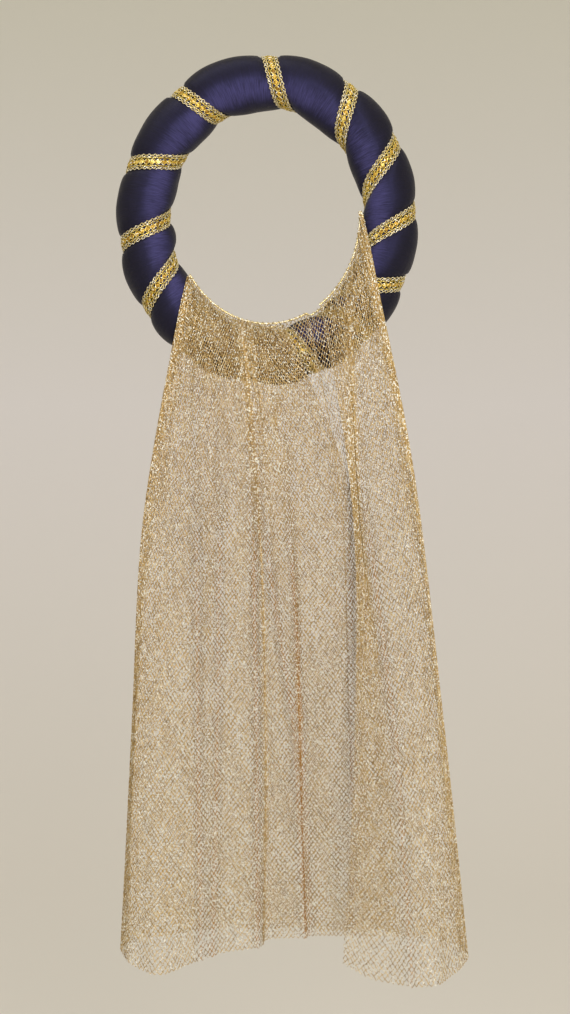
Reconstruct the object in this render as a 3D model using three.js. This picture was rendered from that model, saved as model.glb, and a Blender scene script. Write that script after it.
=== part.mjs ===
// A padded roll headdress: a ring of stuffed satin, wound with one strip of gold braid, and a long
// veil of gold net gathered along the ring's lower inner edge. Millimetres, Z up. The ring stands in
// the XZ plane, the side that frames the face looks along -Y, and the origin is the middle of the
// opening that the head fills.
import * as THREE from 'three';
import { mergeVertices } from 'three/addons/utils/BufferGeometryUtils.js';

// Padded roll: the middle line of the stuffed tube is an ellipse
const ringHalfWidth = 95.8;
const ringHalfHeight = 107.5;
const tubeBulge = 23.4; // tube radius half way between two turns of braid
const tubeCinch = 18.6; // tube radius where the braid pulls the satin in
const bulgeRoundness = 0.45; // under 1 keeps the bulges full and the valleys narrow
const tubeSides = 18;
const bulgeSteps = 5; // between the edges of two turns

// Gold braid: one strip, wound round and round the tube
const braidWidth = 12.5;
const braidThickness = 1.2;
const touchGap = 0.4; // air left between pieces that lie on each other
const braidBow = 2.5; // degrees that each turn arches towards the next one on the front

// One row for each turn, anticlockwise as the face side is seen. "front" is the ring angle where
// the braid crosses the middle of the front, and "lean" how far it drifts round the ring from the
// inner edge to the outer one, both in degrees.
const turns = [
  { front: 87.1, lean: 9.8 },
  { front: 122.8, lean: 8.5 },
  { front: 155.0, lean: 12.4 },
  { front: 187.2, lean: 12.2 },
  { front: 212.3, lean: 17.8 },
  { front: 236.6, lean: 8.7 },
  { front: 260.4, lean: 12.0 },
  { front: 284.0, lean: 12.0 },
  { front: 307.6, lean: 9.0 },
  { front: 326.4, lean: 20.0 },
  { front: 354.5, lean: 24.0 },
  { front: 383.6, lean: 24.0 },
  { front: 413.4, lean: 17.0 },
];

// Net veil: one sheet of net, seen here as a wall
const netThickness = 1.0;
const netLayerPitch = 3.0; // from one layer to the next where the net lies over the roll
const layerSharpness = 4; // how quickly the sheet doubles back from one layer to the other
const sewnAt = 152; // tube angle of the stitching: 0 is the ring's outer edge, 90 its front
const leaveZ = -132; // below this the net hangs free of the roll
const neckZ = -215;
const waistZ = -400;
const flare = 1.15; // over 1 makes the layers part more slowly at the top
const columnsPerFold = 5;
const rollRows = 6; // rows of cells where the net bends over the roll
const rollRowDrop = 6;
const fallRows = 13;

// One row for each fold, along the sheet from one selvedge to the other. "ring" is the ring angle
// where the fold is sewn on, "layer" 0 against the roll and 1 over that, and the rest are the
// fold's place at the height of the neck, of the waist and at the hem.
const folds = [
  { ring: 279, layer: 0.0, neckX: 66, waistX: 92, hemX: 104, hemY: 57, hemZ: -568 },
  { ring: 260, layer: 0.0, neckX: 4, waistX: 14, hemX: 18, hemY: 59, hemZ: -565 },
  { ring: 238, layer: 0.0, neckX: -48, waistX: -49, hemX: -50, hemY: 44, hemZ: -563 },
  { ring: 216, layer: 0.5, neckX: -90, waistX: -104, hemX: -113, hemY: -8, hemZ: -565 },
  { ring: 223, layer: 1.0, neckX: -78, waistX: -85, hemX: -86, hemY: -60, hemZ: -575 },
  { ring: 232, layer: 1.0, neckX: -51, waistX: -57, hemX: -57, hemY: -45, hemZ: -571 },
  { ring: 240, layer: 1.0, neckX: -35, waistX: -39, hemX: -39, hemY: -26, hemZ: -567 },
  { ring: 252, layer: 1.0, neckX: -14, waistX: -9, hemX: -8, hemY: -24, hemZ: -563 },
  { ring: 257, layer: 1.0, neckX: -5, waistX: 0, hemX: 2, hemY: 14, hemZ: -564 },
  { ring: 262, layer: 1.0, neckX: 8, waistX: 21, hemX: 28, hemY: 6, hemZ: -561 },
  { ring: 272, layer: 1.0, neckX: 24, waistX: 31, hemX: 37, hemY: 37, hemZ: -566 },
  { ring: 290, layer: 1.0, neckX: 51, waistX: 58, hemX: 64, hemY: 41, hemZ: -567 },
  { ring: 300, layer: 0.0, neckX: 63, waistX: 76, hemX: 88, hemY: 38, hemZ: -567 },
  { ring: 335, layer: 0.0, neckX: 91, waistX: 113, hemX: 129, hemY: 30, hemZ: -567 },
  { ring: 362, layer: 0.5, neckX: 114, waistX: 138, hemX: 155, hemY: -8, hemZ: -573 },
  { ring: 352, layer: 1.0, neckX: 105, waistX: 120, hemX: 131, hemY: -58, hemZ: -582 },
  { ring: 335, layer: 1.0, neckX: 75, waistX: 98, hemX: 106, hemY: -64, hemZ: -583 },
  { ring: 318, layer: 1.0, neckX: 69, waistX: 81, hemX: 81, hemY: -48, hemZ: -582 },
  { ring: 302, layer: 1.0, neckX: 64, waistX: 67, hemX: 58, hemY: -28, hemZ: -574 },
];

const satin = { color: 0x23213c, roughness: 0.42, metalness: 0.0 };
const lurexBraid = { color: 0xb8912f, roughness: 0.38, metalness: 0.75 };
const lurexNet = { color: 0xc2a266, roughness: 0.5, metalness: 0.4 };

const lerp = THREE.MathUtils.lerp;
const toRadians = THREE.MathUtils.degToRad;

// A cubic from a to b as t goes from 0 to 1, with slopes in units of t
function hermite(a, slopeA, b, slopeB, t) {
  const t2 = t * t;
  const t3 = t2 * t;
  return (
    a * (2 * t3 - 3 * t2 + 1) +
    slopeA * (t3 - 2 * t2 + t) +
    b * (3 * t2 - 2 * t3) +
    slopeB * (t3 - t2)
  );
}

// Makes a mesh from a grid geometry by moving each of its corners to its own place. Corners that
// meet are shared, so the body is closed.
function bentMesh(name, finish, grid, place) {
  const { position, uv } = grid.attributes;
  const corner = new THREE.Vector3();
  const share = new THREE.Vector2();
  for (let i = 0; i < position.count; i += 1) {
    corner.fromBufferAttribute(position, i);
    share.fromBufferAttribute(uv, i);
    const spot = place(corner, share);
    position.setXYZ(i, spot.x, spot.y, spot.z);
  }
  grid.deleteAttribute('normal');
  grid.deleteAttribute('uv');
  const body = mergeVertices(grid, 1e-3);
  body.computeVertexNormals();
  const mesh = new THREE.Mesh(body, new THREE.MeshStandardMaterial(finish));
  mesh.name = name;
  return mesh;
}

// The tube's middle at a ring angle, and the direction that points out of the ring there
function ringAt(angle) {
  const a = toRadians(angle);
  const reach =
    (ringHalfWidth * ringHalfHeight) /
    Math.hypot(ringHalfHeight * Math.cos(a), ringHalfWidth * Math.sin(a));
  const middle = new THREE.Vector3(reach * Math.cos(a), 0, reach * Math.sin(a));
  const out = new THREE.Vector3(middle.x / ringHalfWidth ** 2, 0, middle.z / ringHalfHeight ** 2);
  return { middle, out: out.normalize() };
}

// A point round the tube. Tube angle 0 is the ring's outer edge, 90 its front, 180 its inner edge.
function tubePoint(ringAngle, tubeAngle, radius) {
  const { middle, out } = ringAt(ringAngle);
  const a = toRadians(tubeAngle);
  return middle
    .addScaledVector(out, radius * Math.cos(a))
    .add(new THREE.Vector3(0, -radius * Math.sin(a), 0));
}

function turnRow(number) {
  const laps = Math.floor(number / turns.length);
  const row = turns[number - laps * turns.length];
  return { front: row.front + 360 * laps, lean: row.lean };
}

// The braid's ring angle, after so many turns of winding: whole numbers are the front crossings. A
// turn's front half follows its row, and the back half bends smoothly on to the next turn.
function braidAngle(wound) {
  const number = Math.floor(wound + 0.25);
  const part = wound - number;
  const row = turnRow(number);
  if (part <= 0.25) {
    return row.front + 2 * row.lean * part - braidBow * (4 * part) ** 2;
  }
  const next = turnRow(number + 1);
  return hermite(
    row.front + row.lean / 2 - braidBow,
    row.lean - 4 * braidBow,
    next.front - next.lean / 2 - braidBow,
    next.lean + 4 * braidBow,
    (part - 0.25) / 0.5,
  );
}

// Half the braid's width, as ring degrees, where it crosses a tube angle
function braidHalfAngle(wound, tubeAngle) {
  const step = 0.01;
  const angle = braidAngle(wound);
  const here = tubePoint(angle, tubeAngle, tubeCinch);
  const perDegree = tubePoint(angle + 1, tubeAngle, tubeCinch).distanceTo(here);
  const drift = ((braidAngle(wound + step) - angle) / step) * perDegree;
  const slant = Math.atan2(drift, 2 * Math.PI * tubeCinch);
  return braidWidth / 2 / Math.cos(slant) / perDegree;
}

const linesPerTurn = bulgeSteps + 1;

// Padded roll. Its grid lines run with the braid, so going once round the tube moves on one turn.
function rollPlace(corner, share) {
  const line = Math.round(share.x * turns.length * linesPerTurn);
  const number = Math.floor(line / linesPerTurn);
  const step = line - number * linesPerTurn;
  const tubeAngle = 360 * share.y;
  const wound = number - tubeAngle / 360 + 0.25;
  const edge = braidAngle(wound) + (step === 0 ? -1 : 1) * braidHalfAngle(wound, tubeAngle);
  if (step <= 1) {
    return tubePoint(edge, tubeAngle, tubeCinch);
  }
  const nextEdge = braidAngle(wound + 1) - braidHalfAngle(wound + 1, tubeAngle);
  const part = (step - 1) / bulgeSteps;
  const swell = (4 * part * (1 - part)) ** bulgeRoundness;
  const radius = lerp(tubeCinch, tubeBulge, swell);
  return tubePoint(lerp(edge, nextEdge, part), tubeAngle, radius);
}

// Gold braid. The grid has four sides, for the strip's two faces and two edges, and is wound on as
// many times as there are turns.
function braidPlace(corner, share) {
  const edge = Math.round(share.y * 4) % 4;
  const steps = Math.round(share.x * turns.length * tubeSides);
  const wound = steps / tubeSides + 0.25;
  const tubeAngle = 90 - 360 * (wound - Math.floor(wound + 0.25));
  const side = edge === 0 || edge === 3 ? -1 : 1;
  const height = edge < 2 ? touchGap + braidThickness : touchGap;
  const angle = braidAngle(wound) + side * braidHalfAngle(wound, tubeAngle);
  return tubePoint(angle, tubeAngle, tubeCinch + height);
}

// A smooth run of one column of the table of folds, where whole numbers are its rows
function foldValue(column, along) {
  const last = folds.length - 1;
  const row = Math.min(Math.floor(along), last - 1);
  const a = folds[row][column];
  const b = folds[row + 1][column];
  const before = row > 0 ? folds[row - 1][column] : 2 * a - b;
  const after = row + 2 <= last ? folds[row + 2][column] : 2 * b - a;
  return hermite(a, (b - before) / 2, b, (after - a) / 2, along - row);
}

// A smooth curve down through a list of heights, each with its x
function curveDown(levels, z) {
  const spans = levels.slice(1).map((level, i) => {
    const drop = level.z - levels[i].z;
    return { drop, slope: (level.x - levels[i].x) / drop };
  });
  const slopes = spans.slice(1).map((span, i) => {
    const total = spans[i].drop + span.drop;
    return (spans[i].slope * span.drop + span.slope * spans[i].drop) / total;
  });
  slopes.unshift(1.5 * spans[0].slope - 0.5 * slopes[0]);
  slopes.push(1.5 * spans.at(-1).slope - 0.5 * slopes.at(-1));
  const found = spans.findIndex((span, i) => z >= levels[i + 1].z);
  const i = found < 0 ? spans.length - 1 : found;
  const { drop } = spans[i];
  return hermite(
    levels[i].x,
    slopes[i] * drop,
    levels[i + 1].x,
    slopes[i + 1] * drop,
    (z - levels[i].z) / drop,
  );
}

// The middle of the net's wall: along counts folds, and row counts cells down from the stitching
function netPoint(along, row) {
  const turnOver = 0.5 + layerSharpness * (foldValue('layer', along) - 0.5);
  const layer = THREE.MathUtils.clamp(turnOver, 0, 1);
  const cover = tubeBulge + touchGap + netThickness / 2 + netLayerPitch * layer;
  const sewn = tubePoint(foldValue('ring', along), sewnAt, cover);
  const hemZ = foldValue('hemZ', along);
  const rollDrop = rollRows * rollRowDrop;
  const drop =
    row <= rollRows
      ? row * rollRowDrop
      : lerp(rollDrop, sewn.z - hemZ, (row - rollRows) / fallRows);
  const z = sewn.z - drop;
  const x = curveDown(
    [
      { z: sewn.z, x: sewn.x },
      { z: neckZ, x: foldValue('neckX', along) },
      { z: waistZ, x: foldValue('waistX', along) },
      { z: hemZ, x: foldValue('hemX', along) },
    ],
    z,
  );
  const { middle, out } = ringAt(THREE.MathUtils.radToDeg(Math.atan2(z, x)));
  const outward = new THREE.Vector3(x, 0, z).sub(middle).dot(out);
  const overRoll = outward < 0 ? -Math.sqrt(Math.max(cover ** 2 - outward ** 2, 0)) : -cover;
  const fallen = Math.max((leaveZ - z) / (leaveZ - hemZ), 0) ** flare;
  return new THREE.Vector3(x, lerp(overRoll, foldValue('hemY', along), fallen), z);
}

const netColumns = (folds.length - 1) * columnsPerFold;
const netRows = rollRows + fallRows;

// Net veil. The grid is a box one cell thick, whose X runs along the sheet and Y up it.
function netPlace(corner) {
  const column = Math.round((corner.x + 0.5) * netColumns);
  const row = Math.round((0.5 - corner.y) * netRows);
  const spot = (c, r) =>
    netPoint(
      THREE.MathUtils.clamp(c, 0, netColumns) / columnsPerFold,
      THREE.MathUtils.clamp(r, 0, netRows),
    );
  const alongSheet = spot(column + 1, row).sub(spot(column - 1, row));
  const downSheet = spot(column, row + 1).sub(spot(column, row - 1));
  const normal = alongSheet.cross(downSheet).normalize();
  return spot(column, row).addScaledVector(normal, -corner.z * netThickness);
}

const paddedRoll = bentMesh(
  'padded_roll',
  satin,
  new THREE.TorusGeometry(1, 0.5, tubeSides, turns.length * linesPerTurn),
  rollPlace,
);

const goldBraid = bentMesh(
  'gold_braid',
  lurexBraid,
  new THREE.TorusGeometry(1, 0.5, 4, turns.length * tubeSides),
  braidPlace,
);

const netVeil = bentMesh(
  'net_veil',
  lurexNet,
  new THREE.BoxGeometry(1, 1, 1, netColumns, netRows, 1),
  netPlace,
);

const headdress = new THREE.Group();
headdress.add(paddedRoll, goldBraid, netVeil);

export default headdress;
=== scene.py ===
import math

import bpy
import numpy as np
from mathutils import Matrix, Vector


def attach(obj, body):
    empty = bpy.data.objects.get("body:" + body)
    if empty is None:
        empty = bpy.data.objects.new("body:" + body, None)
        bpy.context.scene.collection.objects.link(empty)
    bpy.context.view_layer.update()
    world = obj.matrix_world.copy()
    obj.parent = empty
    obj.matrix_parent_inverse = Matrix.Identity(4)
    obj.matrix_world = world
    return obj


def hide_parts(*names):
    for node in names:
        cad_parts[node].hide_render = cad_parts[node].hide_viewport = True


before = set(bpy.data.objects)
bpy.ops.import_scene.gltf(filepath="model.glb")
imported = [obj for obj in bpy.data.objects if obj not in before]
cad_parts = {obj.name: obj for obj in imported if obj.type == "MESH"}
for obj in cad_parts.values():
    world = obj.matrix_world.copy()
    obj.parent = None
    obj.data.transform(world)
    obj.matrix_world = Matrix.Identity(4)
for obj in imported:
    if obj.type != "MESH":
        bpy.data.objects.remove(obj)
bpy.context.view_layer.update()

# Camera. The eye is a metre and a half in front of the ring and level with the upper part of the
# veil. It looks up by about one degree.
picture_height = 1014  # pixels
focal_pixels = 1923
sensor = 36
eye_place = (0.01365, -1.5, -0.251)
eye_tilt = 90.98  # degrees up from straight down
eye_lens = bpy.data.cameras.new("eye")
eye_lens.sensor_fit = "VERTICAL"
eye_lens.sensor_width = sensor
eye_lens.sensor_height = sensor
eye_lens.lens = sensor * focal_pixels / picture_height
eye = bpy.data.objects.new("eye", eye_lens)
eye.location = eye_place
eye.rotation_euler = (math.radians(eye_tilt), 0, 0)
bpy.context.scene.collection.objects.link(eye)
bpy.context.scene.camera = eye
bpy.context.scene.view_settings.view_transform = "Standard"


# Padded roll: one tube of dark navy satin, stuffed firmly with wadding and bent into a ring. The
# braid is pulled tight round it, so the satin swells between the turns and puckers beside them.
MM = 0.001  # sizes are in millimetres, and a piece's points are stored in metres
ring_half_width = 95.8  # to the middle of the tube
ring_half_height = 107.5
tube_bulge = 23.3  # tube radius half way between two turns of braid
tube_cinch = 18.6  # tube radius under the braid
bulge_roundness = 0.45  # the lower, the sooner the satin swells up beside the braid
braid_width = 12.5
braid_bow = 2.5  # degrees that each turn arches towards the next one on the front

# A row for each turn of braid: the ring degrees where it crosses the front, and how many it leans
# over from the ring's outer edge to its inner one
turns = np.array(
    [
        (87.1, 9.8),
        (122.8, 8.5),
        (155.0, 12.4),
        (187.2, 12.2),
        (212.3, 17.8),
        (236.6, 8.7),
        (260.4, 12.0),
        (284.0, 12.0),
        (307.6, 9.0),
        (326.4, 20.0),
        (354.5, 24.0),
        (383.6, 24.0),
        (413.4, 17.0),
    ],
    dtype=[("front", float), ("lean", float)],
)


def linear(shade):
    """An sRGB hex colour as the linear red, green, blue and alpha that the shaders take."""
    parts = [int(shade[i : i + 2], 16) / 255 for i in (1, 3, 5)]
    return [p / 12.92 if p <= 0.04045 else ((p + 0.055) / 1.055) ** 2.4 for p in parts] + [1]


def add(tree, kind, settings=(), stops=(), **inputs):
    """Adds a node with its settings, its colour stops as (position, hex colour), and its inputs,
    which are linked or set by name, with _ for a space."""
    node = tree.nodes.new(kind)
    for name, value in dict(settings).items():
        setattr(node, name, value)
    while len(stops) > 2 and len(node.color_ramp.elements) < len(stops):
        node.color_ramp.elements.new(1)
    for number, (position, shade) in enumerate(stops):
        node.color_ramp.elements[number].position = position
        node.color_ramp.elements[number].color = linear(shade)
    for name, value in inputs.items():
        wanted = name.replace("_", " ")
        socket = next(s for s in node.inputs if s.name == wanted and s.enabled)
        if isinstance(value, bpy.types.NodeSocket):
            tree.links.new(value, socket)
        else:
            socket.default_value = value
    return node


def new_material(name):
    """A material with an empty node tree, and the tree."""
    material = bpy.data.materials.new(name)
    material.use_nodes = True
    material.node_tree.nodes.clear()
    return material, material.node_tree


def hermite(a, slope_a, b, slope_b, t):
    """A smooth run from a to b while t goes from 0 to 1, with its slope given at both ends."""
    t2 = t * t
    t3 = t2 * t
    return (
        a * (2 * t3 - 3 * t2 + 1)
        + slope_a * (t3 - 2 * t2 + t)
        + b * (3 * t2 - 2 * t3)
        + slope_b * (t3 - t2)
    )


def ring_at(angle):
    """Middle of the tube at a ring angle in degrees, and the direction out of the ring there."""
    a = np.radians(angle)
    reach = ring_half_width * ring_half_height
    reach = reach / np.hypot(ring_half_height * np.cos(a), ring_half_width * np.sin(a))
    x, z = reach * np.cos(a), reach * np.sin(a)
    out_x, out_z = x / ring_half_width**2, z / ring_half_height**2
    size = np.hypot(out_x, out_z)
    return x, z, out_x / size, out_z / size


def tube_point(ring_angle, tube_angle, radius):
    """A point on the tube. Tube angle 0 is the ring's outer edge, 90 its front, 180 its inner."""
    x, z, out_x, out_z = ring_at(ring_angle)
    out = radius * np.cos(np.radians(tube_angle))
    front = radius * np.sin(np.radians(tube_angle))
    return np.stack(np.broadcast_arrays(x + out_x * out, -front, z + out_z * out), axis=-1)


def turn_row(number):
    """Front crossing and lean of any turn, as the table repeats after each lap of the ring."""
    laps, row = np.divmod(number.astype(int), len(turns))
    return turns["front"][row] + 360 * laps, turns["lean"][row]


def braid_angle(wound):
    """The braid's ring angle after so many turns, where whole numbers are its front crossings.
    The front is a quarter turn each way from a crossing, and the back joins it to the next."""
    number = np.floor(wound + 0.25)
    part = wound - number
    front, lean = turn_row(number)
    next_front, next_lean = turn_row(number + 1)
    on_front = front + 2 * lean * part - braid_bow * (4 * part) ** 2
    on_back = hermite(
        front + lean / 2 - braid_bow,
        lean - 4 * braid_bow,
        next_front - next_lean / 2 - braid_bow,
        next_lean + 4 * braid_bow,
        (part - 0.25) / 0.5,
    )
    return np.where(part <= 0.25, on_front, on_back)


def braid_half_angle(wound, tube_angle):
    """Half the braid's width, as ring degrees, where it crosses a tube angle."""
    step = 0.01  # turns
    angle = braid_angle(wound)
    here = tube_point(angle, tube_angle, tube_cinch)
    per_degree = np.linalg.norm(tube_point(angle + 1, tube_angle, tube_cinch) - here, axis=-1)
    drift = (braid_angle(wound + step) - angle) / step * per_degree
    slant = np.arctan2(drift, 2 * np.pi * tube_cinch)
    return braid_width / 2 / np.cos(slant) / per_degree


def new_piece(name, points, edges=(), faces=(), smooth=False):
    """A piece from points in millimetres, with its object at the origin."""
    mesh = bpy.data.meshes.new(name)
    mesh.from_pydata((np.reshape(points, (-1, 3)) * MM).tolist(), edges, faces)
    if faces:
        mesh.polygons.foreach_set("use_smooth", [smooth] * len(mesh.polygons))
    piece = bpy.data.objects.new(name, mesh)
    bpy.context.scene.collection.objects.link(piece)
    return piece


def attribute(piece, name, kind, values):
    """Stores one value for each point of a piece."""
    data = piece.data.attributes.new(name, kind, "POINT").data
    data.foreach_set("vector" if kind == "FLOAT_VECTOR" else "value", np.ravel(values))


dice = np.random.default_rng(7)
flat_lines = 4  # grid lines under the braid
swell_lines = 22  # grid lines from one turn's edge to the next
lines_per_turn = flat_lines + swell_lines
tube_steps = 96
roll_lines = np.arange(len(turns) * lines_per_turn)
turn_number, line_step = np.divmod(roll_lines, lines_per_turn)
line_step = line_step[:, None].astype(float)
roll_tube = np.arange(tube_steps)[None, :] * 360 / tube_steps
roll_wound = turn_number[:, None] - roll_tube / 360 + 0.25
half_angle = braid_half_angle(roll_wound, roll_tube)
next_half = braid_half_angle(roll_wound + 1, roll_tube)
middle_angle = braid_angle(roll_wound)
next_edge = braid_angle(roll_wound + 1) - next_half
under = np.clip(line_step / flat_lines, 0, 1)
beyond = np.clip((line_step - flat_lines) / swell_lines, 0, 1)
roll_angle = middle_angle + half_angle * (2 * under - 1)
roll_angle += beyond * (next_edge - middle_angle - half_angle)

# The satin puckers: little ridges run out from both edges of each turn and die away
swell = (4 * beyond * (1 - beyond)) ** bulge_roundness
gap = (next_edge - middle_angle - half_angle) * np.pi / 180 * ring_half_width
pucker_reach = 5.0
pucker_height = 0.34
pucker_waves = (17, 26, 39)  # ridges round the tube
pucker = np.zeros_like(roll_wound)
for edge_distance, shift in ((beyond * gap, 0), ((1 - beyond) * gap, 1)):
    ridges = np.zeros_like(roll_wound)
    for waves in pucker_waves:
        phases = dice.uniform(0, 2 * np.pi, len(turns))
        phase = phases[(turn_number + shift) % len(turns)][:, None]
        ridges += np.sin(np.radians(roll_tube) * waves + phase) / len(pucker_waves)
    pucker += ridges * pucker_height * np.exp(-edge_distance / pucker_reach)

# The wadding is lumpy: soft waves of several lengths run round the ring and the tube
lump_room = 0.5  # kept free below the full bulge
lumps = np.zeros_like(roll_wound)
for round_ring, round_tube, height in ((5, 2, 0.25), (9, 3, 0.2), (16, 5, 0.14), (29, 4, 0.1)):
    phase = dice.uniform(0, 2 * np.pi)
    lumps += height * np.sin(
        np.radians(roll_angle) * round_ring + np.radians(roll_tube) * round_tube + phase
    )
rise = np.clip(swell * 4, 0, 1)  # the braid holds the satin flat, so both start at its edge
swell_height = tube_bulge - lump_room - tube_cinch
roll_radius = tube_cinch + swell_height * swell + (pucker + lumps) * rise
roll_points = tube_point(roll_angle, roll_tube, roll_radius)


def roll_corner(line, step):
    """The point's number. Once round the tube, a grid line meets the line one turn back."""
    if step == tube_steps:
        line, step = line - lines_per_turn, 0
    return line % len(roll_lines) * tube_steps + step


roll_faces = [
    [
        roll_corner(line, step),
        roll_corner(line, step + 1),
        roll_corner(line + 1, step + 1),
        roll_corner(line + 1, step),
    ]
    for line in range(len(roll_lines))
    for step in range(tube_steps)
]
satin_roll = new_piece("satin_roll", roll_points, faces=roll_faces, smooth=True)

# Satin threads run round the tube, so the pattern is stretched that way: this place changes fast
# along the ring and only slowly round the tube.
thread_stretch = 0.07
ring_x, ring_z, ring_out_x, ring_out_z = ring_at(roll_angle)
around = -np.sin(np.radians(roll_tube)) * roll_radius
attribute(
    satin_roll,
    "thread_place",
    "FLOAT_VECTOR",
    np.stack(
        np.broadcast_arrays(
            ring_x + (roll_points[..., 0] - ring_x) * thread_stretch,
            around * thread_stretch,
            ring_z + (roll_points[..., 2] - ring_z) * thread_stretch,
        ),
        axis=-1,
    ),
)

# The highlight is drawn out along the ring. An indigo sheen is painted into the colour, a painted
# sheen strongest on the stretch of the tube that faces the front and the ring's middle
ring_way = np.stack(np.broadcast_arrays(-ring_out_z, 0.0, ring_out_x), axis=-1)
attribute(satin_roll, "ring_way", "FLOAT_VECTOR", ring_way)
# Painted sheen: how much indigo sheen is painted on each point, set by its tube angle
painted_sheen_middle = 118  # tube angle
painted_sheen_spread = 34
least_painted_sheen = 0.25
painted_sheen_share = np.exp(-(((roll_tube - painted_sheen_middle) / painted_sheen_spread) ** 2))
painted_sheen_share = np.broadcast_to(least_painted_sheen + (1 - least_painted_sheen) * painted_sheen_share, roll_angle.shape)
attribute(satin_roll, "painted_sheen_side", "FLOAT", painted_sheen_share)

# Polyester satin, woven with long floats that lie round the tube: nearly black navy, with an indigo
# sheen painted into its colour towards the ring's middle, and fine streaks across that painted
# sheen where the threads vary. The streaks are drawn coarser than the threads, so that they show.
streaks_per_mm = 1.4
clouds_per_metre = 38.0
satin, tree = new_material("polyester_satin")
satin_place = add(tree, "ShaderNodeAttribute", {"attribute_name": "thread_place"}).outputs["Vector"]
thread_streaks = add(
    tree,
    "ShaderNodeTexNoise",
    Vector=satin_place,
    Scale=streaks_per_mm,
    Detail=3.0,
    Roughness=0.6,
).outputs["Fac"]
cloud = add(
    tree,
    "ShaderNodeTexNoise",
    Vector=add(tree, "ShaderNodeTexCoord").outputs["Object"],
    Scale=clouds_per_metre,
    Detail=2.0,
).outputs["Fac"]
cloud_share = 0.5
streak_mix = add(tree, "ShaderNodeMath", {"operation": "MULTIPLY_ADD"}, Value=cloud)
streak_mix.inputs[1].default_value = cloud_share
tree.links.new(thread_streaks, streak_mix.inputs[2])
painted_sheen_side = add(tree, "ShaderNodeAttribute", {"attribute_name": "painted_sheen_side"}).outputs["Fac"]
satin_painted_sheen = add(tree, "ShaderNodeMath", {"operation": "MULTIPLY"}, Value=streak_mix.outputs[0])
tree.links.new(painted_sheen_side, satin_painted_sheen.inputs[1])
# Dark navy satin at the low end, the painted indigo sheen at the high end
satin_and_painted_sheen_shades = [(0.1, "#1b1a1c"), (0.45, "#242336"), (0.9, "#403e68")]
satin_and_painted_sheen_colour = add(tree, "ShaderNodeValToRGB", stops=satin_and_painted_sheen_shades, Fac=satin_painted_sheen.outputs[0])
satin_rough = add(tree, "ShaderNodeMapRange", Value=thread_streaks)
satin_rough.inputs["To Min"].default_value = 0.4
satin_rough.inputs["To Max"].default_value = 0.62
thread_way = add(tree, "ShaderNodeAttribute", {"attribute_name": "ring_way"}).outputs["Vector"]
satin_bump = add(
    tree, "ShaderNodeBump", Strength=0.5, Distance=0.0006, Height=thread_streaks
).outputs["Normal"]
satin_skin = add(
    tree,
    "ShaderNodeBsdfPrincipled",
    Base_Color=satin_and_painted_sheen_colour.outputs["Color"],
    Roughness=satin_rough.outputs[0],
    Normal=satin_bump,
    Tangent=thread_way,
    Anisotropic=0.6,
    IOR=1.3,
    Specular_IOR_Level=0.4,
    Specular_Tint=linear("#9494f0"),
)
add(tree, "ShaderNodeOutputMaterial", Surface=satin_skin.outputs["BSDF"])
satin_roll.data.materials.append(satin)
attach(satin_roll, "root")
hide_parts("padded_roll")


# Gold braid: a flat openwork trim of metallic thread, wound thirteen times round the roll and
# pulled tight. Two gimp cords cross over each other round little woven pads, a straighter cord
# borders them on each side, and looped threads make an open, scalloped edge.
braid_lift = 0.75  # from the satin to the middle of the braid's thickness
stitch_length = 4.5  # one scallop
points_per_turn = 180
path_wound = np.linspace(0.25, len(turns) + 0.25, len(turns) * points_per_turn + 1)


def braid_point(wound, across, height):
    """A point of the braid: across from its middle line, and height above the satin, in mm."""
    tube_angle = 90 - 360 * (wound - np.floor(wound + 0.25))
    angle = braid_angle(wound) + braid_half_angle(wound, tube_angle) * across / (braid_width / 2)
    return tube_point(angle, tube_angle, tube_cinch + height)


path_points = braid_point(path_wound, 0.0, braid_lift)
path_steps = np.linalg.norm(np.diff(path_points, axis=0), axis=1)
path_length = np.concatenate([[0], np.cumsum(path_steps)])
scallops = 2 * round(path_length[-1] / stitch_length / 2)  # even, so that the gimp cords close


def braid_wound(scallop):
    """Turns of winding at a number of scallops along the braid."""
    return np.interp(np.asarray(scallop) / scallops * path_length[-1], path_length, path_wound)


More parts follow.
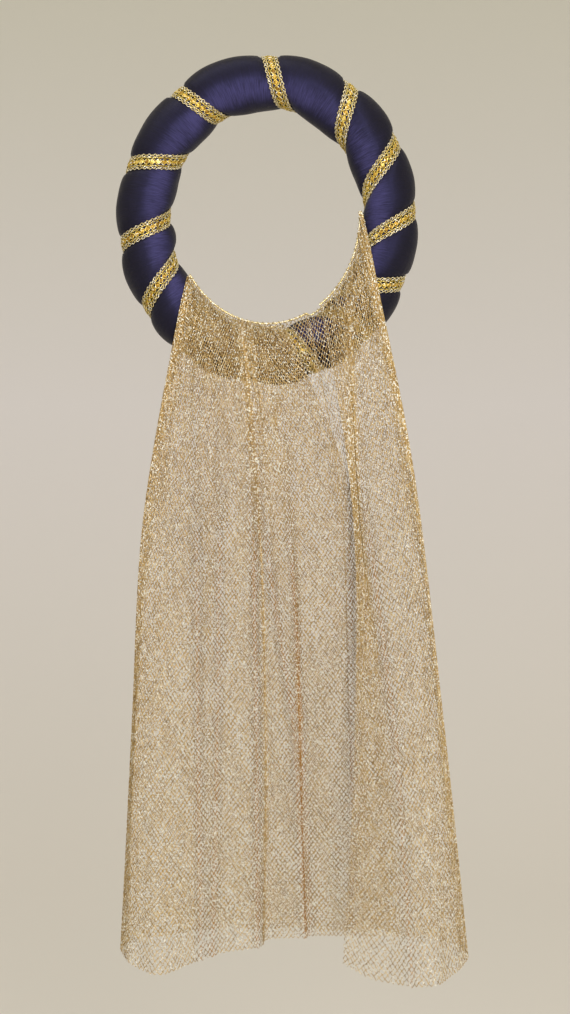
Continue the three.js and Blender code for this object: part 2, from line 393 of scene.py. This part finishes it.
def thread_tree():
    """Geometry Nodes that turn lines of points into threads, each point turned by chance so that
    the flat sides of a metallic thread catch the light here and there."""
    tree = bpy.data.node_groups.new("threads", "GeometryNodeTree")
    tree.interface.new_socket("Geometry", in_out="INPUT", socket_type="NodeSocketGeometry")
    tree.interface.new_socket("Geometry", in_out="OUTPUT", socket_type="NodeSocketGeometry")
    for name, kind in (
        ("Thread radius", "NodeSocketFloat"),
        ("Sides", "NodeSocketInt"),
        ("Twist", "NodeSocketFloat"),
        ("Seed", "NodeSocketInt"),
        ("Close ends", "NodeSocketBool"),
        ("Smooth", "NodeSocketBool"),
        ("Thread material", "NodeSocketMaterial"),
    ):
        tree.interface.new_socket(name, in_out="INPUT", socket_type=kind)
    given = add(tree, "NodeGroupInput").outputs
    paths = add(tree, "GeometryNodeMeshToCurve", Mesh=given["Geometry"]).outputs["Curve"]
    least_twist = add(tree, "ShaderNodeMath", {"operation": "MULTIPLY"}, Value=given["Twist"])
    least_twist.inputs[1].default_value = -1
    chance = add(
        tree,
        "FunctionNodeRandomValue",
        {"data_type": "FLOAT"},
        Min=least_twist.outputs[0],
        Max=given["Twist"],
        Seed=given["Seed"],
    ).outputs["Value"]
    turned = add(tree, "GeometryNodeSetCurveTilt", Curve=paths, Tilt=chance).outputs["Curve"]
    section = add(
        tree,
        "GeometryNodeCurvePrimitiveCircle",
        Resolution=given["Sides"],
        Radius=given["Thread radius"],
    ).outputs["Curve"]
    body = add(
        tree,
        "GeometryNodeCurveToMesh",
        Curve=turned,
        Profile_Curve=section,
        Fill_Caps=given["Close ends"],
    ).outputs["Mesh"]
    shaded = add(
        tree, "GeometryNodeSetShadeSmooth", Geometry=body, Shade_Smooth=given["Smooth"]
    ).outputs["Geometry"]
    real = add(tree, "GeometryNodeRealizeInstances", Geometry=shaded).outputs["Geometry"]
    finished = add(
        tree, "GeometryNodeSetMaterial", Geometry=real, Material=given["Thread material"]
    ).outputs["Geometry"]
    add(tree, "NodeGroupOutput", Geometry=finished)
    return tree


threads = thread_tree()


def run_tree(piece, tree, material, **values):
    """Runs Geometry Nodes on a piece and keeps the result as its plain mesh."""
    modifier = piece.modifiers.new("made", "NODES")
    modifier.node_group = tree
    names = {i.name: i.identifier for i in tree.interface.items_tree if i.in_out == "INPUT"}
    for name, value in values.items():
        modifier[names[name.replace("_", " ")]] = value
    modifier[names["Thread material"]] = material
    bpy.context.view_layer.update()
    evaluated = piece.evaluated_get(bpy.context.evaluated_depsgraph_get())
    mesh = bpy.data.meshes.new_from_object(evaluated)
    piece.modifiers.clear()
    old = piece.data
    piece.data = mesh
    bpy.data.meshes.remove(old)
    mesh.name = piece.name
    return piece


def braid_threads(name, rows, steps, material, **values):
    """Closed threads along the braid, with so many steps to a scallop. Each row is a function
    that takes an angle, one full turn to a scallop, and gives the thread's place across the braid
    and its height."""
    points, edges = [], []
    count = scallops * steps
    scallop = np.arange(count) / steps
    for row in rows:
        across, height = row(scallop * 2 * np.pi)
        first = len(points) * count
        edges += [(first + i, first + (i + 1) % count) for i in range(count)]
        points.append(braid_point(braid_wound(scallop), across, height))
    piece = new_piece(name, np.concatenate(points), edges=edges)
    attribute(piece, "glint", "FLOAT", dice.random(len(points) * count))
    return run_tree(piece, threads, material, **values)


film_turns_per_metre = 700.0  # the film's turns, drawn coarser than they are so that they show
rough_spread = 0.14
painted_glint_edge = 0.03
# near-white colour of the painted glints
painted_glint_gold = "#fffdf0"


def gold_thread(name, shades, rough, metal, painted_glint_start):
    """Metallic film thread wound on a core. The colour and the gloss change from point to point,
    as the film turns over, and the flecks are painted glints: near-white colour painted where the
    film throws the light straight back."""
    material, tree = new_material(name)
    glint = add(tree, "ShaderNodeAttribute", {"attribute_name": "glint"}).outputs["Fac"]
    fine = add(
        tree,
        "ShaderNodeTexNoise",
        Vector=add(tree, "ShaderNodeTexCoord").outputs["Object"],
        Scale=film_turns_per_metre,
        Detail=1.0,
    ).outputs["Fac"]
    # Painted glints: where the fine noise is high, the colour is painted near-white
    painted_glint_stops = [(painted_glint_start, "#000000"), (painted_glint_start + painted_glint_edge, "#ffffff")]
    painted_glint_mask = add(tree, "ShaderNodeValToRGB", stops=painted_glint_stops, Fac=fine)
    tone = add(tree, "ShaderNodeValToRGB", stops=shades, Fac=glint)
    mix = add(
        tree,
        "ShaderNodeMix",
        {"data_type": "RGBA"},
        Factor=painted_glint_mask.outputs["Color"],
        A=tone.outputs["Color"],
        B=linear(painted_glint_gold),
    )
    roughness = add(tree, "ShaderNodeMapRange", Value=fine)
    roughness.inputs["To Min"].default_value = rough - rough_spread
    roughness.inputs["To Max"].default_value = rough + rough_spread
    bump = add(tree, "ShaderNodeBump", Strength=1.0, Distance=0.0006, Height=fine)
    skin = add(
        tree,
        "ShaderNodeBsdfPrincipled",
        Base_Color=next(socket for socket in mix.outputs if socket.enabled),
        Metallic=metal,
        Roughness=roughness.outputs[0],
        Normal=bump.outputs["Normal"],
    )
    add(tree, "ShaderNodeOutputMaterial", Surface=skin.outputs["BSDF"])
    return material


# Gimp cords of polished film, paler looped threads beside them, and pads of old gold cotton with
# only a few turns of film in it
bright_gold = gold_thread(
    "bright_gold_film_thread",
    [(0.0, "#a0842c"), (0.45, "#ccb04a"), (0.8, "#e8d47c"), (1.0, "#fff6c4")],
    rough=0.36,
    metal=0.6,
    painted_glint_start=0.6,
)
pale_gold = gold_thread(
    "pale_gold_film_thread",
    [(0.0, "#a89254"), (0.4, "#d4c084"), (0.8, "#ecdfb2"), (1.0, "#fffbe6")],
    rough=0.36,
    metal=0.45,
    painted_glint_start=0.6,
)
old_gold = gold_thread(
    "old_gold_cotton",
    [(0.35, "#8c6818"), (0.6, "#b48c2c"), (0.85, "#cfaa40"), (1.0, "#f0d878")],
    rough=0.46,
    metal=0.4,
    painted_glint_start=0.66,
)


loop_sway = 0.85
loop_rise = 0.25


def scallop_edge(side, middle, sway, turned):
    """A thread that waves in and out round a line beside the braid's middle."""
    return lambda p: (
        side * (middle + sway * np.cos(p + turned)),
        braid_lift + loop_rise * np.sin(p + turned),
    )


points_per_scallop = 8
edge_rows = [
    scallop_edge(side, middle, sway, turned)
    for side in (-1, 1)
    for middle, sway, turned in ((5.05, loop_sway, 0), (4.5, -loop_sway, 0.4))
]
braid_edge = braid_threads(
    "braid_scallops",
    edge_rows,
    points_per_scallop,
    pale_gold,
    Thread_radius=0.42 * MM,
    Sides=3,
    Twist=0.7,
    Seed=3,
    Close_ends=False,
    Smooth=True,
)


def crossing_cord(side, sway=2.0, lift=0.25, weave=0.3):
    """A gimp cord that swings over the braid's middle and passes over and under its twin."""
    return lambda p: (
        side * sway * np.cos(p / 2),
        braid_lift + lift + weave * side * np.sin(p),
    )


def border_cord(side, middle=3.05, waver=0.2, lift=0.1):
    """A gimp cord that runs nearly straight between the crossing cords and the scallops."""
    return lambda p: (
        side * (middle + waver * np.cos(2 * p)),
        braid_lift + lift + 0 * p,
    )


braid_gimp = braid_threads(
    "braid_gimp",
    [cord(side) for cord in (crossing_cord, border_cord) for side in (-1, 1)],
    points_per_scallop,
    bright_gold,
    Thread_radius=0.5 * MM,
    Sides=4,
    Twist=0.6,
    Seed=5,
    Close_ends=False,
    Smooth=True,
)


def pad_tree():
    """Geometry Nodes that set a small flattened pad on each point, turned as the point says."""
    tree = bpy.data.node_groups.new("woven_pads", "GeometryNodeTree")
    tree.interface.new_socket("Geometry", in_out="INPUT", socket_type="NodeSocketGeometry")
    tree.interface.new_socket("Geometry", in_out="OUTPUT", socket_type="NodeSocketGeometry")
    tree.interface.new_socket("Pad half size", in_out="INPUT", socket_type="NodeSocketVector")
    tree.interface.new_socket("Thread material", in_out="INPUT", socket_type="NodeSocketMaterial")
    given = add(tree, "NodeGroupInput").outputs
    pad = add(tree, "GeometryNodeMeshUVSphere", Segments=8, Rings=4, Radius=1.0).outputs["Mesh"]
    pose = add(tree, "GeometryNodeInputNamedAttribute", {"data_type": "QUATERNION"}, Name="pose")
    placed = add(
        tree,
        "GeometryNodeInstanceOnPoints",
        Points=given["Geometry"],
        Instance=pad,
        Rotation=pose.outputs["Attribute"],
        Scale=given["Pad half size"],
    ).outputs["Instances"]
    real = add(tree, "GeometryNodeRealizeInstances", Geometry=placed).outputs["Geometry"]
    finished = add(
        tree, "GeometryNodeSetMaterial", Geometry=real, Material=given["Thread material"]
    ).outputs["Geometry"]
    add(tree, "NodeGroupOutput", Geometry=finished)
    return tree


pad_height = braid_lift + 0.1
pad_half_size = (1.75 * MM, 1.35 * MM, 0.62 * MM)
dullest_pad = 0.35
just_ahead = 0.002  # turns
pad_wound = braid_wound(np.arange(scallops))
pad_points = braid_point(pad_wound, 0.0, pad_height)
pad_ahead = braid_point(pad_wound + just_ahead, 0.0, pad_height) - pad_points
pad_up = braid_point(pad_wound, 0.0, pad_height + 1) - pad_points
pad_ahead /= np.linalg.norm(pad_ahead, axis=1, keepdims=True)
pad_side = np.cross(pad_up, pad_ahead)
pad_poses = [
    Matrix(np.stack(axes, axis=1).tolist()).to_quaternion()[:]
    for axes in zip(pad_ahead, pad_side, pad_up)
]
braid_pads = new_piece("braid_pads", pad_points)
attribute(braid_pads, "pose", "QUATERNION", pad_poses)
pad_glint = dullest_pad + (1 - dullest_pad) * dice.random(scallops)
attribute(braid_pads, "glint", "FLOAT", pad_glint)
run_tree(braid_pads, pad_tree(), old_gold, Pad_half_size=pad_half_size)
for piece in (braid_edge, braid_gimp, braid_pads):
    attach(piece, "root")
    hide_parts("gold_braid")


# Net veil: one rectangle of knotted diamond net in pale metallic thread, gathered and sewn along
# the roll's lower inner edge. It bends over the roll's front, doubles back at both sides and
# hangs in long soft folds, with its hem cut raw.
sewn_at = 152  # tube angle of the stitching
touch_gap = 0.4
net_thickness = 1.0
layer_pitch = 3.0  # from one layer on the roll to the next over it
layer_sharpness = 4  # how soon a fold rises from one layer to the other
leave_z = -132  # below here the cloth hangs clear of the roll
neck_z = -215
waist_z = -400
flare = 1.15  # above 1, the folds open slowly at first

# A row for each fold, in order across the cloth: the ring degrees where it is sewn, its layer on
# the roll, where 1 lies over 0, and where it passes at the neck, the waist and the hem. The back
# layer comes first, then the left fold, the middle and the right fold.
folds = np.array(
    [
        (279, 0.0, 66, 92, 104, 57, -568),
        (260, 0.0, 4, 14, 18, 59, -565),
        (238, 0.0, -48, -49, -50, 44, -563),
        (216, 0.5, -90, -104, -113, -8, -565),
        (223, 1.0, -78, -85, -86, -60, -575),
        (232, 1.0, -51, -57, -57, -45, -571),
        (240, 1.0, -35, -39, -39, -26, -567),
        (252, 1.0, -14, -9, -8, -24, -563),
        (257, 1.0, -5, 0, 2, 14, -564),
        (262, 1.0, 8, 21, 28, 6, -561),
        (272, 1.0, 24, 31, 37, 37, -566),
        (290, 1.0, 51, 58, 64, 41, -567),
        (300, 0.0, 63, 76, 88, 38, -567),
        (335, 0.0, 91, 113, 129, 30, -567),
        (362, 0.5, 114, 138, 155, -8, -573),
        (352, 1.0, 105, 120, 131, -58, -582),
        (335, 1.0, 75, 98, 106, -64, -583),
        (318, 1.0, 69, 81, 81, -48, -582),
        (302, 1.0, 64, 67, 58, -28, -574),
    ],
    dtype=[
        ("ring", float),
        ("layer", float),
        ("neck_x", float),
        ("waist_x", float),
        ("hem_x", float),
        ("hem_y", float),
        ("hem_z", float),
    ],
)


def fold_value(column, along):
    """A smooth run of one column of the table, where whole numbers are its rows."""
    values = folds[column]
    values = np.concatenate([[2 * values[0] - values[1]], values, [2 * values[-1] - values[-2]]])
    row = np.clip(np.floor(along), 0, len(folds) - 2).astype(int)
    before, a, b, after = (values[row + i] for i in range(4))
    return hermite(a, (b - before) / 2, b, (after - a) / 2, along - row)


def curve_down(heights, places, z):
    """Places on smooth curves down through four heights, at the heights z."""
    drops = [b - a for a, b in zip(heights, heights[1:])]
    leans = [(b - a) / drop for a, b, drop in zip(places, places[1:], drops)]
    slopes = [
        (leans[i] * drops[i + 1] + leans[i + 1] * drops[i]) / (drops[i] + drops[i + 1])
        for i in range(len(drops) - 1)
    ]
    slopes.insert(0, 1.5 * leans[0] - 0.5 * slopes[0])
    slopes.append(1.5 * leans[-1] - 0.5 * slopes[-1])
    found = places[-1] + 0 * z
    for i in reversed(range(len(drops))):
        span = hermite(
            places[i],
            slopes[i] * drops[i],
            places[i + 1],
            slopes[i + 1] * drops[i],
            (z - heights[i]) / drops[i],
        )
        found = span if i == len(drops) - 1 else np.where(z >= heights[i + 1], span, found)
    return found


def net_cover(along):
    """How far from the tube's middle the cloth lies over the roll."""
    turn_over = 0.5 + layer_sharpness * (fold_value("layer", along) - 0.5)
    return tube_bulge + touch_gap + net_thickness / 2 + layer_pitch * np.clip(turn_over, 0, 1)


def net_point(along, down):
    """The cloth's surface: along counts folds, and down goes from 0 at the stitching to 1."""
    cover = net_cover(along)
    sewn = tube_point(fold_value("ring", along), sewn_at, cover)
    sewn_x, sewn_z = sewn[..., 0], sewn[..., 2]
    hem_z = fold_value("hem_z", along)
    z = sewn_z + (hem_z - sewn_z) * down
    heights = [sewn_z, neck_z + 0 * z, waist_z + 0 * z, hem_z]
    places = [sewn_x] + [fold_value(c, along) for c in ("neck_x", "waist_x", "hem_x")]
    x = curve_down(heights, places, z)
    ring_x, ring_z, out_x, out_z = ring_at(np.degrees(np.arctan2(z, x)))
    outward = (x - ring_x) * out_x + (z - ring_z) * out_z
    bend = np.sqrt(np.maximum(cover**2 - outward**2, 0))
    over_roll = np.where(outward < 0, -bend, -cover)
    fallen = np.maximum((leave_z - z) / (leave_z - hem_z), 0) ** flare
    y = over_roll + (fold_value("hem_y", along) - over_roll) * fallen
    return np.stack([x, y, z], axis=-1)


# The cloth's own measures: its width is the length of the hem, shared out between the folds half
# by the hem and half by the waist, and its cells are as the photograph shows them.
last_fold = len(folds) - 1
walk_points = 1701
waist_down = 0.62
cloth_length = 540
cell_width = 4.0
cell_height = 5.1
walk = np.linspace(0, last_fold, walk_points)


def measure_across(down):
    """Length of the cloth from its first fold to each point of the walk, and in all."""
    line = net_point(walk, np.full_like(walk, down))
    steps = np.linalg.norm(np.diff(line, axis=0), axis=1)
    return np.concatenate([[0], np.cumsum(steps)]), steps.sum()


hem_walk, cloth_width = measure_across(1.0)
waist_walk, waist_width = measure_across(waist_down)
walk_share = (hem_walk / cloth_width + waist_walk / waist_width) / 2

# The knots lie half a cell apart on the flat cloth, a little out of line, and are then set on the
# folded one. Which way is out of the cloth at a knot comes from points just beside it.
half_columns = 2 * round(cloth_width / cell_width)
half_rows = 2 * round(cloth_length / cell_height)
column = np.arange(half_columns + 1)[:, None]
row = np.arange(half_rows + 1)[None, :]
cloth_dice = np.random.default_rng(21)
knot_wander = 0.3
wander = cloth_dice.normal(0, knot_wander, (2, half_columns + 1, half_rows + 1))
cloth_u = np.clip(column + wander[0] * 2 / cell_width, 0, half_columns)
cloth_v = np.clip(row + wander[1] * 2 / cell_height, 0, half_rows)
cloth_along = np.interp(cloth_u / half_columns, walk_share, walk)
cloth_down = cloth_v / half_rows
knots = net_point(cloth_along, cloth_down)
near = 0.02  # folds across, and shares of the length down
along_way = net_point(np.clip(cloth_along + near, 0, last_fold), cloth_down)
along_way = along_way - net_point(np.clip(cloth_along - near, 0, last_fold), cloth_down)
down_way = net_point(cloth_along, np.clip(cloth_down + near, 0, 1))
down_way = down_way - net_point(cloth_along, np.clip(cloth_down - near, 0, 1))
cloth_out = np.cross(along_way, down_way)
cloth_out /= np.linalg.norm(cloth_out, axis=-1, keepdims=True)

# Small gathers run down from the stitching and fade into the slow waves of hanging cloth
gathered_length = 60
fade_length = 160
across = column * cell_width / 2
fallen_mm = row * cell_height / 2
gathers = sum(
    height * np.sin(2 * np.pi * across / width + phase)
    for width, height, phase in ((13.0, 0.35, 0.4), (19.0, 0.4, 2.1), (31.0, 0.5, 4.0))
)
hang = sum(
    height * np.sin(2 * np.pi * (across / width + fallen_mm / tall) + phase)
    for width, tall, height, phase in (
        (46.0, 900.0, 0.9, 0.3),
        (73.0, -700.0, 1.3, 1.9),
        (27.0, 1500.0, 0.5, 5.1),
    )
)
below_roll = np.clip((fallen_mm - gathered_length) / fade_length, 0, 1)
knots += cloth_out * (gathers * (1 - below_roll) + hang * below_roll)[..., None]

# Sharp creases run down some of the folds, each through three places and on the cloth between two
# rows of the table of folds. They stand towards the face side, or away from it below 0.
hem_level = -567.6
creases = np.array(
    [
        (3.6, 6.0, -54, -52, -50, 7.0, 2.4),
        (5.0, 7.0, -36, -38, -41, 5.0, 2.2),
        (6.3, 7.6, -11, -8, -7, 5.0, 2.2),
        (6.5, 9.7, -7, 21, 30, 4.5, 2.4),
        (8.9, 10.6, 16, 27, 34, 3.0, 2.4),
        (10.6, 13.0, 63, 66, 68, -4.0, 2.4),
        (14.5, 18.0, 74, 97, 107, 5.0, 2.4),
    ],
    dtype=[
        ("from_row", float),
        ("to_row", float),
        ("neck_x", float),
        ("waist_x", float),
        ("hem_x", float),
        ("height", float),
        ("half_width", float),
    ],
)
shade_reach = 2  # a crease's painted shade reaches this many times as far across the cloth as its lift
crease_lift = np.zeros_like(cloth_along)
painted_fold_shade = np.zeros_like(cloth_along)
for crease in creases:
    crease_x = np.interp(
        knots[..., 2],
        [hem_level, waist_z, neck_z],
        [crease["hem_x"], crease["waist_x"], crease["neck_x"]],
    )
    here = (cloth_along > crease["from_row"]) & (cloth_along < crease["to_row"])
    beside = (knots[..., 0] - crease_x) / crease["half_width"]
    crease_lift += crease["height"] * np.exp(-(beside**2)) * here
    # Painted shade: the cloth beside a crease is marked for a deeper gold tone
    painted_fold_shade += np.exp(-((beside / shade_reach) ** 2)) * here
knots[..., 1] -= crease_lift * below_roll
painted_fold_shade = np.clip(painted_fold_shade, 0, 1) * below_roll

# Film of pale gold on a thin core: most points are matt straw and a few are painted pale as
# glints. The deep gold of the first tone is painted shade for the folds.
net_gold = gold_thread(
    "pale_net_film_thread",
    [
        (0.0, "#a87824"),
        (0.15, "#9c804e"),
        (0.5, "#b9995c"),
        (0.9, "#d0b47a"),
        (1.0, "#f4e8c4"),
    ],
    rough=0.34,
    metal=0.3,
    painted_glint_start=0.57,
)
net_thread_radius = 0.31
thread_lift = 0.16  # the two ways of thread pass a little over and under each other
painted_fold_shade_limit = 0.15  # below this tone a point has the deep gold of painted shade in a fold
net_glint_and_painted_fold_shade = painted_fold_shade_limit + (1 - painted_fold_shade_limit) * cloth_dice.random(knots.shape[:2])
# Painted shade: along the creases the tone falls to the deep gold of the first stop
net_glint_and_painted_fold_shade *= 1 - painted_fold_shade

# One cloth, knotted as three panels that meet on a line of knots. Its threads run both ways across
# it, and each starts at the top edge or at a side.
panels = 3
for panel in range(panels):
    first = half_columns * panel // panels
    last = half_columns * (panel + 1) // panels
    points, glints, edges = [], [], []
    for way in (1, -1):
        starts = [(c, 0) for c in range(first, last + 1) if c % 2 == 0]
        side = first if way == 1 else last
        starts += [(side, r) for r in range(1, half_rows) if (side + r) % 2 == 0]
        for c, r in starts:
            count = min(last - c if way == 1 else c - first, half_rows - r)
            if count < 1:
                continue
            steps = np.arange(count + 1)
            spots = (c + way * steps, r + steps)
            edges += [(len(points) + i, len(points) + i + 1) for i in range(count)]
            lift = cloth_out[spots] * thread_lift * way
            points.extend((knots[spots] + lift).tolist())
            glints.extend(net_glint_and_painted_fold_shade[spots].tolist())
    net = new_piece(f"veil_net_{panel + 1}", np.array(points), edges=edges)
    attribute(net, "glint", "FLOAT", glints)
    run_tree(
        net,
        threads,
        net_gold,
        Thread_radius=net_thread_radius * MM,
        Sides=3,
        Twist=0.5,
        Seed=11 + panel,
        Close_ends=False,
        Smooth=True,
    )
    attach(net, "root")
    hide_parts("net_veil")


# Gathering cord and stitches: the net's top edge is drawn up on a cord of pale gold thread, and
# short whip stitches go over the cord and into the satin, one every few millimetres.
cord_radius = 0.7
stitch_radius = 0.24
stitch_pitch = 4.2
stitch_reach = 1.25  # from the cord's middle to the stitch's thread
stitch_slant = 0.8  # ring degrees that a stitch leans
stitch_half_turn = 2.0  # radians that a stitch goes round the cord, each way
points_per_stitch = 9


def edge_point(along, ring_shift, lift, down):
    """A point beside the net's top edge: lift away from the roll, and down along the net, in mm."""
    cover = net_cover(along)
    tube_angle = sewn_at - np.degrees(down / cover)
    return tube_point(fold_value("ring", along) + ring_shift, tube_angle, cover + lift)


cord_points = 700
cord_along = np.linspace(0, last_fold, cord_points)
cord_line = edge_point(cord_along, 0.0, 0.0, 0.0)
cord_edges = [(i, i + 1) for i in range(cord_points - 1)]
gather_cord = new_piece("gather_cord", cord_line, edges=cord_edges)
attribute(gather_cord, "glint", "FLOAT", dice.random(cord_points))
cord_steps = np.linalg.norm(np.diff(cord_line, axis=0), axis=1)
cord_walk = np.concatenate([[0], np.cumsum(cord_steps)])
stitch_count = round(cord_walk[-1] / stitch_pitch)
stitch_places = (np.arange(stitch_count) + 0.5) / stitch_count * cord_walk[-1]
stitch_along = np.interp(stitch_places, cord_walk, cord_along)[:, None]
stitch_turn = np.linspace(-stitch_half_turn, stitch_half_turn, points_per_stitch)[None, :]
stitch_points = edge_point(
    stitch_along,
    stitch_slant * stitch_turn / 2,
    stitch_reach * np.cos(stitch_turn),
    stitch_reach * np.sin(stitch_turn),
)
stitch_edges = [
    (stitch * points_per_stitch + i, stitch * points_per_stitch + i + 1)
    for stitch in range(stitch_count)
    for i in range(points_per_stitch - 1)
]
whip_stitches = new_piece("whip_stitches", stitch_points, edges=stitch_edges)
attribute(whip_stitches, "glint", "FLOAT", dice.random(stitch_points[..., 0].size))
for piece, radius, sides in ((gather_cord, cord_radius, 8), (whip_stitches, stitch_radius, 5)):
    run_tree(
        piece,
        threads,
        pale_gold,
        Thread_radius=radius * MM,
        Sides=sides,
        Twist=0.2,
        Seed=17,
        Close_ends=True,
        Smooth=True,
    )
    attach(piece, "root")
    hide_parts("net_veil")


# Backdrop: a plain pale floor that turns up smoothly into a plain warm wall all round and closes
# overhead. A soft light beside the camera, a larger one overhead and the room's own glow light it.
floor_z = -1.15
room_radius = 4.6
bend_radius = 1.2
bend_steps = 12
pole_radius = 0.00001  # the floor and the roof close to a point
bend = [math.radians(i * 90 / bend_steps) for i in range(1, bend_steps + 1)]
floor_radius = room_radius - bend_radius
profile = [(pole_radius, floor_z), (floor_radius, floor_z)]
profile += [
    (floor_radius + bend_radius * math.sin(a), floor_z + bend_radius - bend_radius * math.cos(a))
    for a in bend
]
profile += [
    (room_radius, 2.2),
    (room_radius * 0.8, 3.6),
    (room_radius * 0.4, 4.4),
    (pole_radius, 4.6),
]
room_sides = 64
room_points = [
    (r * math.cos(2 * math.pi * s / room_sides), r * math.sin(2 * math.pi * s / room_sides), z)
    for r, z in profile
    for s in range(room_sides)
]
room_faces = [
    [
        i * room_sides + s,
        (i + 1) * room_sides + s,
        (i + 1) * room_sides + (s + 1) % room_sides,
        i * room_sides + (s + 1) % room_sides,
    ]
    for i in range(len(profile) - 1)
    for s in range(room_sides)
]
room = new_piece("backdrop", np.array(room_points) / MM, faces=room_faces, smooth=True)

# Painted plaster: matt, and a little warmer low down and overhead. Its glow stands for the light
# that the room sends back, and is stronger behind the part than behind the camera. It is wide and
# even, so the rays find it without being aimed at it.
paint_top = 1.5
glow_front, glow_back = -2.0, 1.0  # metres along Y
glow_weak, glow_strong = 0.1, 0.385
plaster, tree = new_material("warm_white_paint")
paint_place = add(tree, "ShaderNodeTexCoord").outputs["Object"]
paint_axes = add(tree, "ShaderNodeSeparateXYZ", Vector=paint_place).outputs
paint_height = add(tree, "ShaderNodeMapRange", Value=paint_axes["Z"])
paint_height.inputs["From Min"].default_value = floor_z
paint_height.inputs["From Max"].default_value = paint_top
paint_shades = [(0.0, "#cac5bc"), (0.5, "#cac6c4"), (1.0, "#bebbaf")]
paint = add(tree, "ShaderNodeValToRGB", stops=paint_shades, Fac=paint_height.outputs[0])
paint_glow = add(tree, "ShaderNodeMapRange", Value=paint_axes["Y"])
paint_glow.inputs["From Min"].default_value = glow_front
paint_glow.inputs["From Max"].default_value = glow_back
paint_glow.inputs["To Min"].default_value = glow_weak
paint_glow.inputs["To Max"].default_value = glow_strong
paint_skin = add(
    tree,
    "ShaderNodeBsdfPrincipled",
    Base_Color=paint.outputs["Color"],
    Roughness=0.9,
    Emission_Color=paint.outputs["Color"],
    Emission_Strength=paint_glow.outputs[0],
)
add(tree, "ShaderNodeOutputMaterial", Surface=paint_skin.outputs["BSDF"])
plaster.cycles.emission_sampling = "NONE"
room.data.materials.append(plaster)


def soft_light(name, place, aim, size, watts, shade):
    """A round area light at a place, turned to its aim."""
    lamp = bpy.data.lights.new(name, "AREA")
    lamp.shape = "DISK"
    lamp.size = size
    lamp.energy = watts
    lamp.color = linear(shade)[:3]
    holder = bpy.data.objects.new(name, lamp)
    holder.location = place
    holder.rotation_mode = "QUATERNION"
    holder.rotation_quaternion = (Vector(aim) - Vector(place)).to_track_quat("-Z", "Y")
    bpy.context.scene.collection.objects.link(holder)


veil_top = (0, 0, -0.2)
soft_light("window", (0.45, -2.4, 0.45), veil_top, size=0.7, watts=62, shade="#fffaf4")
soft_light("ceiling", (-0.8, -0.6, 2.4), veil_top, size=2.0, watts=30, shade="#ffffff")
